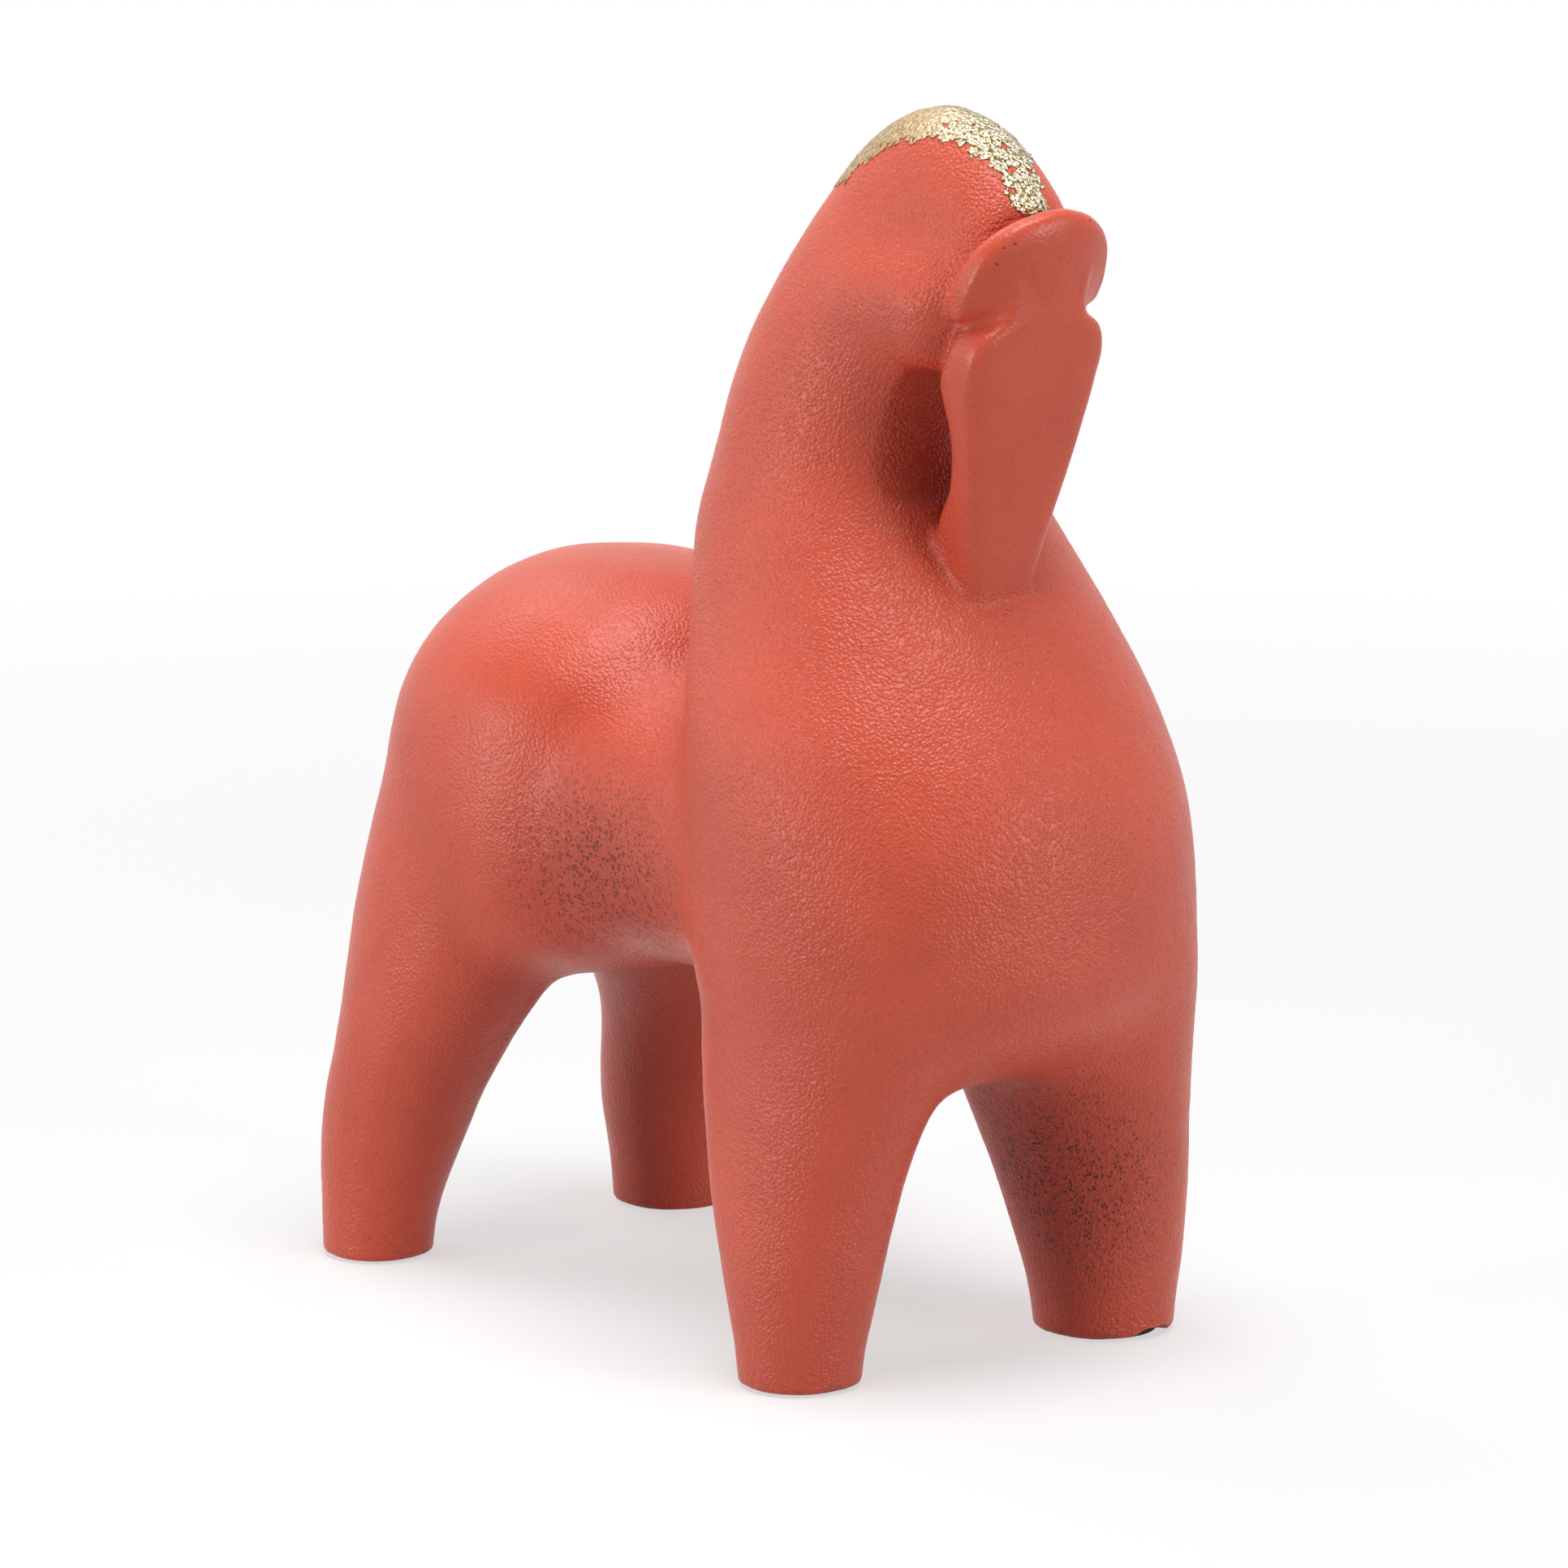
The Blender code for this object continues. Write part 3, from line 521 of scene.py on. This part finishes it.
def shape_feet(points):
    """Press the feet flat and round their lower edges, with a recess for each pad and one chip."""
    points[:, 2] = np.maximum(points[:, 2], RIM_Z)
    for x, y, radius in FEET:
        near = np.hypot(points[:, 0] - x, points[:, 1] - y) < 2 * radius
        height = np.clip((points[:, 2] - RIM_Z) / FOOT_ROUNDING, 0, 1)
        inset = FOOT_ROUNDING * (1 - np.sqrt(1 - (1 - height) ** 2))
        scale = np.where(near, 1 - inset / radius, 1)
        points[:, 0] = x + (points[:, 0] - x) * scale
        points[:, 1] = y + (points[:, 1] - y) * scale
        over_pad = np.hypot(points[:, 0] - x, points[:, 1] - y) < radius - PAD_INSET + GAP
        lowest = np.where(over_pad, PAD_THICKNESS + GAP, RIM_Z)
        points[:, 2] = np.maximum(points[:, 2], lowest)
    apart = np.hypot(points[:, 0] - CHIP_PLACE[0], points[:, 1] - CHIP_PLACE[1])
    chip = RIM_Z + CHIP_DEPTH * smooth_step(apart, CHIP_RADIUS, 0.5 * CHIP_RADIUS)
    points[:, 2] = np.maximum(points[:, 2], chip)


def grain_strength(points):
    """How sandy the skin is: most on neck and chest, less on the rump, least on the face."""
    x, y, z = points.T
    back = (y - MUZZLE_Y) * math.cos(FACE_LEAN) + (z - MUZZLE_Z) * math.sin(FACE_LEAN)
    up = (z - MUZZLE_Z) * math.cos(FACE_LEAN) - (y - MUZZLE_Y) * math.sin(FACE_LEAN)
    on_plate = smooth_step(back, 13 * MM, 6 * MM) * smooth_step(up, -4 * MM, 4 * MM)
    on_rump = smooth_step(y, 5 * MM, 35 * MM)
    return (1 - 0.45 * on_rump) * (1 - 0.75 * on_plate)


def relief(made, name, texture_type, spacing, depth, group=""):
    """Press a pattern into an object's skin, so that nothing rises past its surface."""
    pattern = bpy.data.textures.new(name, texture_type)
    pattern.noise_scale = spacing
    press = made.modifiers.new(name, "DISPLACE")
    press.texture = pattern
    press.texture_coords = "LOCAL"
    press.strength = depth
    press.mid_level = 1
    press.vertex_group = group


def casting(material):
    """The casting's outside: limbs and face melted together, with sandy relief and round feet."""
    form = bmesh.new()
    form.from_mesh(limbs_mesh())
    loft(form, face_sections())
    cover(form, ear_outlines())
    made = object_from(form, "casting_form")
    hole = bmesh.new()
    cover(hole, hole_outlines(0))
    tools = (block("below_the_feet", -40 * MM, RIM_Z - FOOT_SPARE), object_from(hole, "jaw_hole"))
    for tool in tools:
        trim = made.modifiers.new(tool.name, "BOOLEAN")
        trim.object = tool
        trim.use_self = True
    melt(made, SKIN_VOXEL, SKIN_EASE)
    mesh = baked(made)
    for tool in tools:
        bpy.data.objects.remove(tool)

    points = np.empty(3 * len(mesh.vertices))
    mesh.vertices.foreach_get("co", points)
    points = points.reshape(-1, 3)
    shape_feet(points)
    mesh.vertices.foreach_set("co", points.ravel())
    strength = grain_strength(points)
    mesh.attributes.new("grain", "FLOAT", "POINT").data.foreach_set("value", strength)
    mesh.materials.clear()
    mesh.materials.append(material)
    mesh.shade_smooth()
    body = bpy.data.objects.new("horse_casting", mesh)
    bpy.context.scene.collection.objects.link(body)
    sandy = body.vertex_groups.new(name="sandy")
    levels = np.round(strength * 20).astype(int)
    for step in range(1, 21):
        sandy.add(np.flatnonzero(levels == step).tolist(), step / 20, "REPLACE")
    relief(body, "hand_finish", "CLOUDS", HAND_SPACING, HAND_DEPTH)
    relief(body, "sand_grain", "CLOUDS", GRAIN_SPACING, GRAIN_DEPTH, "sandy")
    return body


def leaf_edge(share, side):
    """Half width of the leaf, from 0 behind the ears to 1 at the nape."""
    gain = LEAF_BACK_HALF_WIDTH - LEAF_FRONT_HALF_WIDTH
    wide = LEAF_FRONT_HALF_WIDTH + gain * share ** LEAF_WIDENING
    rounded = min(1, (1.05 - share) / 0.2) ** 0.5
    tongues = math.sin(31 * share + side) + 0.6 * math.sin(57 * share + 2 * side)
    return wide * rounded + LEAF_TONGUE * tongues / 1.6


def leaf_cover(place, across, share):
    """More than 0 where the leaf holds on the resin, less than 0 where the resin shows."""
    side = math.copysign(1, across)
    inside = (leaf_edge(share, side) - abs(across)) / MM
    notch = ((place - Vector(LEAF_NOTCH)).length - LEAF_NOTCH_RADIUS) / MM
    strokes = Vector((0.35 * place.x, place.y, 0.6 * place.z)) / (0.9 * MM)
    fray = 1.2 * noise.noise(place / (2.2 * MM)) + 2.2 * noise.noise(strokes)
    wear = max(0, noise.noise(place / (2.6 * MM)) - 0.2 - 0.35 * share)
    return min(inside, notch, 8 - 60 * wear) + fray


def leaf_height(place, share):
    """Height of the crumpled leaf over the skin: flakes in front, strokes behind."""
    crumple = abs(noise.noise(place / (1.2 * MM))) + 0.5 * abs(noise.noise(place / (0.6 * MM)))
    return LEAF_LIFT + LEAF_FLAKE * crumple * (1 - 0.6 * share)


def gold_leaf(body, material):
    """Leaf on the crest, from behind the ears to the nape, torn along its edges."""
    graph = bpy.context.evaluated_depsgraph_get()
    tree = BVHTree.FromObject(body, graph)
    centre = Vector(LEAF_CENTRE)
    reach = CREST_Z - centre.z
    cell = LEAF_CELL * 1
    rows = round(reach * (LEAF_BACK - LEAF_FRONT) / cell)
    columns = round(2 * LEAF_REACH / cell)
    form = bmesh.new()
    grid = []
    for row in range(rows + 1):
        share = row / rows
        angle = LEAF_FRONT + (LEAF_BACK - LEAF_FRONT) * share
        line = []
        for column in range(columns + 1):
            across = (2 * column / columns - 1) * LEAF_REACH
            lean = math.atan(across / reach)
            way = Vector((math.sin(lean), math.sin(angle) * math.cos(lean),
                          math.cos(angle) * math.cos(lean)))
            place, normal, _, _ = tree.ray_cast(centre, way)
            if normal.dot(way) < 0:
                normal = -normal
            jitter = noise.noise_vector(place / (0.8 * MM)) * 0.35 * cell
            vertex = form.verts.new(place + jitter + normal * leaf_height(place, share))
            line.append((vertex, leaf_cover(place, across, share)))
        grid.append(line)
    for line, after in zip(grid, grid[1:]):
        for column in range(columns):
            corners = (line[column], line[column + 1], after[column + 1], after[column])
            if sum(cover for _, cover in corners) > 0:
                form.faces.new([vertex for vertex, _ in corners])
    loose = [vertex for vertex in form.verts if not vertex.link_faces]
    bmesh.ops.delete(form, geom=loose, context="VERTS")
    made = object_from(form, "mane_leaf", material)
    thicken = made.modifiers.new("thickness", "SOLIDIFY")
    thicken.thickness = LEAF_THICKNESS
    thicken.offset = -1
    return made


def foot_pad(name, foot, material):
    """A foam pad with a softened edge."""
    x, y, radius = foot
    radius -= PAD_INSET
    form = bmesh.new()
    bmesh.ops.create_cone(form, cap_ends=True, segments=ROUND_POINTS, radius1=radius,
                          radius2=radius, depth=PAD_THICKNESS)
    rims = [edge for edge in form.edges if abs(edge.verts[0].co.z - edge.verts[1].co.z) < GAP]
    bmesh.ops.bevel(form, geom=rims, offset=PAD_EDGE, segments=3, affect="EDGES", profile=0.5)
    bmesh.ops.translate(form, vec=(x, y, PAD_THICKNESS / 2), verts=form.verts)
    return object_from(form, name, material)


def new_material(name, roughness, metallic=0.0):
    """A material, its node tree and its shader."""
    made = bpy.data.materials.new(name)
    made.use_nodes = True
    shader = made.node_tree.nodes["Principled BSDF"]
    shader.inputs["Roughness"].default_value = roughness
    shader.inputs["Metallic"].default_value = metallic
    return made, made.node_tree, shader


def add_node(tree, kind, inputs, **settings):
    """Add a node; each input is given a value or is fed from a socket."""
    made = tree.nodes.new(kind)
    for key, value in settings.items():
        setattr(made, key, value)
    for key, value in inputs.items():
        if isinstance(value, bpy.types.NodeSocket):
            tree.links.new(value, made.inputs[key])
        else:
            made.inputs[key].default_value = value
    return made


def place_of(tree):
    """The point on the object, in metres."""
    return add_node(tree, "ShaderNodeTexCoord", {}).outputs["Object"]


def cloud(tree, place, spacing, detail=2.0):
    """Noise with one swell in each spacing, from 0 to 1."""
    made = add_node(tree, "ShaderNodeTexNoise",
                    {"Vector": place, "Scale": 1 / spacing, "Detail": detail})
    return made.outputs["Fac"]


def from_to(tree, value, start, end, low=0.0, high=1.0):
    """Stretch a value so that start gives low and end gives high, and no more."""
    made = add_node(tree, "ShaderNodeMapRange",
                    {"Value": value, "From Min": start, "From Max": end,
                     "To Min": low, "To Max": high})
    return made.outputs["Result"]


def times(tree, first, second):
    """The product of two values."""
    made = add_node(tree, "ShaderNodeMath", {0: first, 1: second}, operation="MULTIPLY")
    return made.outputs["Value"]


def paint(tree, share, under, over):
    """Lay one colour over another by a share."""
    made = add_node(tree, "ShaderNodeMix", {"Factor": share}, data_type="RGBA")
    for key, colour in (("A", under), ("B", over)):
        socket = [each for each in made.inputs if each.name == key and each.type == "RGBA"][0]
        if isinstance(colour, bpy.types.NodeSocket):
            tree.links.new(colour, socket)
        else:
            socket.default_value = (*colour, 1)
    return [each for each in made.outputs if each.type == "RGBA"][0]


def ball(tree, place, centre, radius):
    """1 at a centre, fading to 0 at a radius from it."""
    apart = add_node(tree, "ShaderNodeVectorMath", {0: place, 1: centre}, operation="DISTANCE")
    return from_to(tree, apart.outputs["Value"], radius, 0.3 * radius)


def bump(tree, height, distance, normal=None):
    """A fine relief in the shading."""
    inputs = {"Height": height, "Distance": distance, "Strength": 1.0}
    if normal:
        inputs["Normal"] = normal
    return add_node(tree, "ShaderNodeBump", inputs).outputs["Normal"]


def terracotta():
    """Painted resin: brick red with a sandy skin, dark pinholes, scuffed feet, and two patches of
    painted shade.
    """
    made, tree, shader = new_material("terracotta_resin_look", 0.36)
    shader.inputs["Specular IOR Level"].default_value = 0.38
    place = place_of(tree)
    grain = add_node(tree, "ShaderNodeAttribute", {}, attribute_name="grain").outputs["Fac"]
    tone = paint(tree, from_to(tree, cloud(tree, place, 28 * MM), 0.35, 0.65),
                 (0.575, 0.078, 0.037), (0.63, 0.089, 0.044))
    fine = paint(tree, from_to(tree, cloud(tree, place, 1.2 * MM), 0.45, 0.3, 0, 0.35),
                 tone, (0.42, 0.05, 0.027))

    dots = add_node(tree, "ShaderNodeTexVoronoi", {"Vector": place, "Scale": 1 / (0.9 * MM)})
    holes = from_to(tree, dots.outputs["Distance"], 0.46, 0.3)
    chosen = from_to(tree, cloud(tree, place, 1.8 * MM), 0.46, 0.54)
    speck_and_shade_patches = add_node(tree, "ShaderNodeMath", {
        0: ball(tree, place, FLANK_SPECKS_AND_SHADE, FLANK_SPREAD),
        1: ball(tree, place, INNER_LEG_SPECKS_AND_SHADE, INNER_LEG_SPREAD)}, operation="MAXIMUM")
    pinholes = times(tree, times(tree, holes, chosen),
                     from_to(tree, speck_and_shade_patches.outputs["Value"], 0, 1, 0.04, 1))
    for pit in EAR_PITS:
        dark = add_node(tree, "ShaderNodeMath", {
            0: pinholes, 1: ball(tree, place, pit, EAR_PIT_RADIUS)}, operation="MAXIMUM")
        pinholes = dark.outputs["Value"]
    # Painted shade: over the flank and inner leg patches the resin is darkened halfway towards a
    # deep red brown
    shaded = paint(tree, from_to(tree, speck_and_shade_patches.outputs["Value"], 0, 1, 0, 0.5),
                   fine, (0.34, 0.034, 0.014))
    specked = paint(tree, pinholes, shaded, (0.15, 0.02, 0.01))

    height = add_node(tree, "ShaderNodeSeparateXYZ", {"Vector": place}).outputs["Z"]
    low = from_to(tree, height, 4 * MM, 1 * MM)
    scuffs = times(tree, low, from_to(tree, cloud(tree, place, 3 * MM, 4), 0.54, 0.7))
    worn = paint(tree, scuffs, specked, (0.3, 0.07, 0.045))
    tree.links.new(worn, shader.inputs["Base Color"])

    pebbles = add_node(tree, "ShaderNodeTexVoronoi", {
        "Vector": place, "Scale": 1 / (0.75 * MM), "Smoothness": 0.6}, feature="SMOOTH_F1")
    rounded = from_to(tree, pebbles.outputs["Distance"], 0.7, 0.1)
    normal = bump(tree, times(tree, rounded, grain), 0.2 * MM)
    tree.links.new(bump(tree, pinholes, -0.25 * MM, normal), shader.inputs["Normal"])
    return made


def gold():
    """Rubbed leaf: pale brush strokes behind, and flakes with olive creases in front, painted
    paler and whiter for their glints.
    """
    made, tree, shader = new_material("gold_leaf_look", 0.34, 0.95)
    place = place_of(tree)
    forward = add_node(tree, "ShaderNodeSeparateXYZ", {"Vector": place}).outputs["Y"]
    flaked_and_glinting = from_to(tree, forward, -58 * MM, -74 * MM)
    strokes = add_node(tree, "ShaderNodeMapping", {"Vector": place, "Scale": (0.22, 1, 0.4)})
    streak = cloud(tree, strokes.outputs["Vector"], 0.6 * MM, 3)
    rear = paint(tree, from_to(tree, streak, 0.4, 0.6), (0.33, 0.23, 0.125), (0.5, 0.37, 0.23))
    # Partly painted glint: the front's paler, whiter colour stands in for the white glints of its
    # flakes, which also have real relief and lower roughness
    tone = paint(tree, flaked_and_glinting, rear, (0.7, 0.6, 0.44))
    creases = from_to(tree, cloud(tree, place, 0.9 * MM, 4), 0.5, 0.42)
    marks = times(tree, creases, from_to(tree, flaked_and_glinting, 0, 1, 0.3, 1))
    tree.links.new(paint(tree, marks, tone, (0.2, 0.15, 0.035)), shader.inputs["Base Color"])
    tree.links.new(from_to(tree, flaked_and_glinting, 0, 1, 0.5, 0.22), shader.inputs["Roughness"])
    normal = bump(tree, streak, 0.3 * MM)
    flakes = add_node(tree, "ShaderNodeTexVoronoi", {"Vector": place, "Scale": 1 / (0.9 * MM)})
    facets = times(tree, flakes.outputs["Distance"], from_to(tree, flaked_and_glinting, 0, 1, 0.25, 1))
    tree.links.new(bump(tree, facets, 0.6 * MM, normal), shader.inputs["Normal"])
    return made


def foam():
    """Black cellular foam."""
    made, tree, shader = new_material("black_foam_look", 0.9)
    place = place_of(tree)
    cells = cloud(tree, place, 0.5 * MM)
    tree.links.new(paint(tree, cells, (0.006, 0.006, 0.006), (0.02, 0.02, 0.022)),
                   shader.inputs["Base Color"])
    tree.links.new(bump(tree, cells, 0.2 * MM), shader.inputs["Normal"])
    return made


def filler():
    """Unpainted resin of the plugs."""
    made, tree, shader = new_material("plug_resin_look", 0.7)
    place = place_of(tree)
    swirl = cloud(tree, place, 3 * MM, 3)
    tree.links.new(paint(tree, swirl, (0.44, 0.1, 0.065), (0.54, 0.14, 0.09)),
                   shader.inputs["Base Color"])
    tree.links.new(bump(tree, swirl, 0.1 * MM), shader.inputs["Normal"])
    return made


def camera():
    """The camera that sees the horse as the photograph does."""
    made = bpy.data.objects.new("camera", bpy.data.cameras.new("camera"))
    bpy.context.scene.collection.objects.link(made)
    level = math.cos(CAMERA_ELEVATION)
    back = Vector((math.sin(CAMERA_AZIMUTH) * level, -math.cos(CAMERA_AZIMUTH) * level,
                   math.sin(CAMERA_ELEVATION)))
    made.location = Vector(CAMERA_AIM) + back * CAMERA_DISTANCE
    made.rotation_euler = (-back).to_track_quat("-Z", "Y").to_euler()
    made.data.lens = CAMERA_LENS
    made.data.clip_end = 50
    bpy.context.scene.camera = made


def soft_light(name, place, size, power):
    """A large square light that faces the horse."""
    lamp = bpy.data.lights.new(name, "AREA")
    lamp.size = size
    lamp.energy = power
    made = bpy.data.objects.new(name, lamp)
    made.location = place
    made.rotation_euler = (Vector(CAMERA_AIM) - Vector(place)).to_track_quat("-Z", "Y").to_euler()
    bpy.context.scene.collection.objects.link(made)


def plain_rays(tree):
    """1 for a ray that shows the studio: to the camera, in a gloss or through something clear."""
    ray = add_node(tree, "ShaderNodeLightPath", {})
    seen = ray.outputs["Is Camera Ray"]
    for kind in ("Is Glossy Ray", "Is Transmission Ray"):
        either = add_node(tree, "ShaderNodeMath", {0: seen, 1: ray.outputs[kind]},
                          operation="MAXIMUM")
        seen = either.outputs["Value"]
    return seen


def paper():
    """White paper that keeps the horse's shadow and fades to plain white further out."""
    made, tree, shader = new_material("paper_floor", 0.9)
    shader.inputs["Specular IOR Level"].default_value = 0
    seen = plain_rays(tree)
    tree.links.new(paint(tree, seen, FLOOR_BOUNCE, FLOOR_SEEN), shader.inputs["Base Color"])
    away = add_node(tree, "ShaderNodeVectorMath", {0: place_of(tree)}, operation="LENGTH")
    share = from_to(tree, away.outputs["Value"], SHADOW_REACH, 2.5 * SHADOW_REACH, FLOOR_WHITE)
    white = add_node(tree, "ShaderNodeEmission", {"Color": (1, 1, 1, 1), "Strength": 1.0})
    mix = add_node(tree, "ShaderNodeMixShader", {0: times(tree, share, seen),
                                                 1: shader.outputs["BSDF"],
                                                 2: white.outputs["Emission"]})
    tree.links.new(mix.outputs["Shader"], tree.nodes["Material Output"].inputs["Surface"])
    return made


def studio():
    """A pale floor under soft light, with white all round."""
    form = bmesh.new()
    bmesh.ops.create_grid(form, x_segments=1, y_segments=1, size=FLOOR_SIZE / 2)
    object_from(form, "paper_sweep", paper())

    world = bpy.data.worlds.new("white_studio")
    bpy.context.scene.world = world
    world.use_nodes = True
    sky = world.node_tree.nodes["Background"]
    strength = from_to(world.node_tree, plain_rays(world.node_tree), 0, 1, AMBIENT, 1)
    world.node_tree.links.new(strength, sky.inputs["Strength"])
    sky.inputs["Color"].default_value = (1, 1, 1, 1)
    for name, place, size, power in LIGHTS:
        soft_light(name, place, size, power)
    bpy.context.scene.view_settings.view_transform = "Standard"


def dressed_horse():
    """Every piece with its look, each riding the frame."""
    resin = terracotta()
    black = foam()
    body = casting(resin)
    leaf = gold_leaf(body, gold())
    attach(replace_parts(body, "body_casting"), "root")
    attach(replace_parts(leaf, "gold_leaf_mane"), "root")
    feet = {"front_left": FRONT_LEFT_FOOT, "front_right": FRONT_RIGHT_FOOT,
            "rear_left": REAR_LEFT_FOOT, "rear_right": REAR_RIGHT_FOOT}
    plug_look = filler()
    for name, foot in feet.items():
        pad = foot_pad(name + "_pad", foot, black)
        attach(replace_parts(pad, name + "_foot_pad"), "root")
        frame["nodes"][name + "_foot_plug"].data.materials[0] = plug_look


clear_scene()
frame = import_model()
dressed_horse()
studio()
camera()
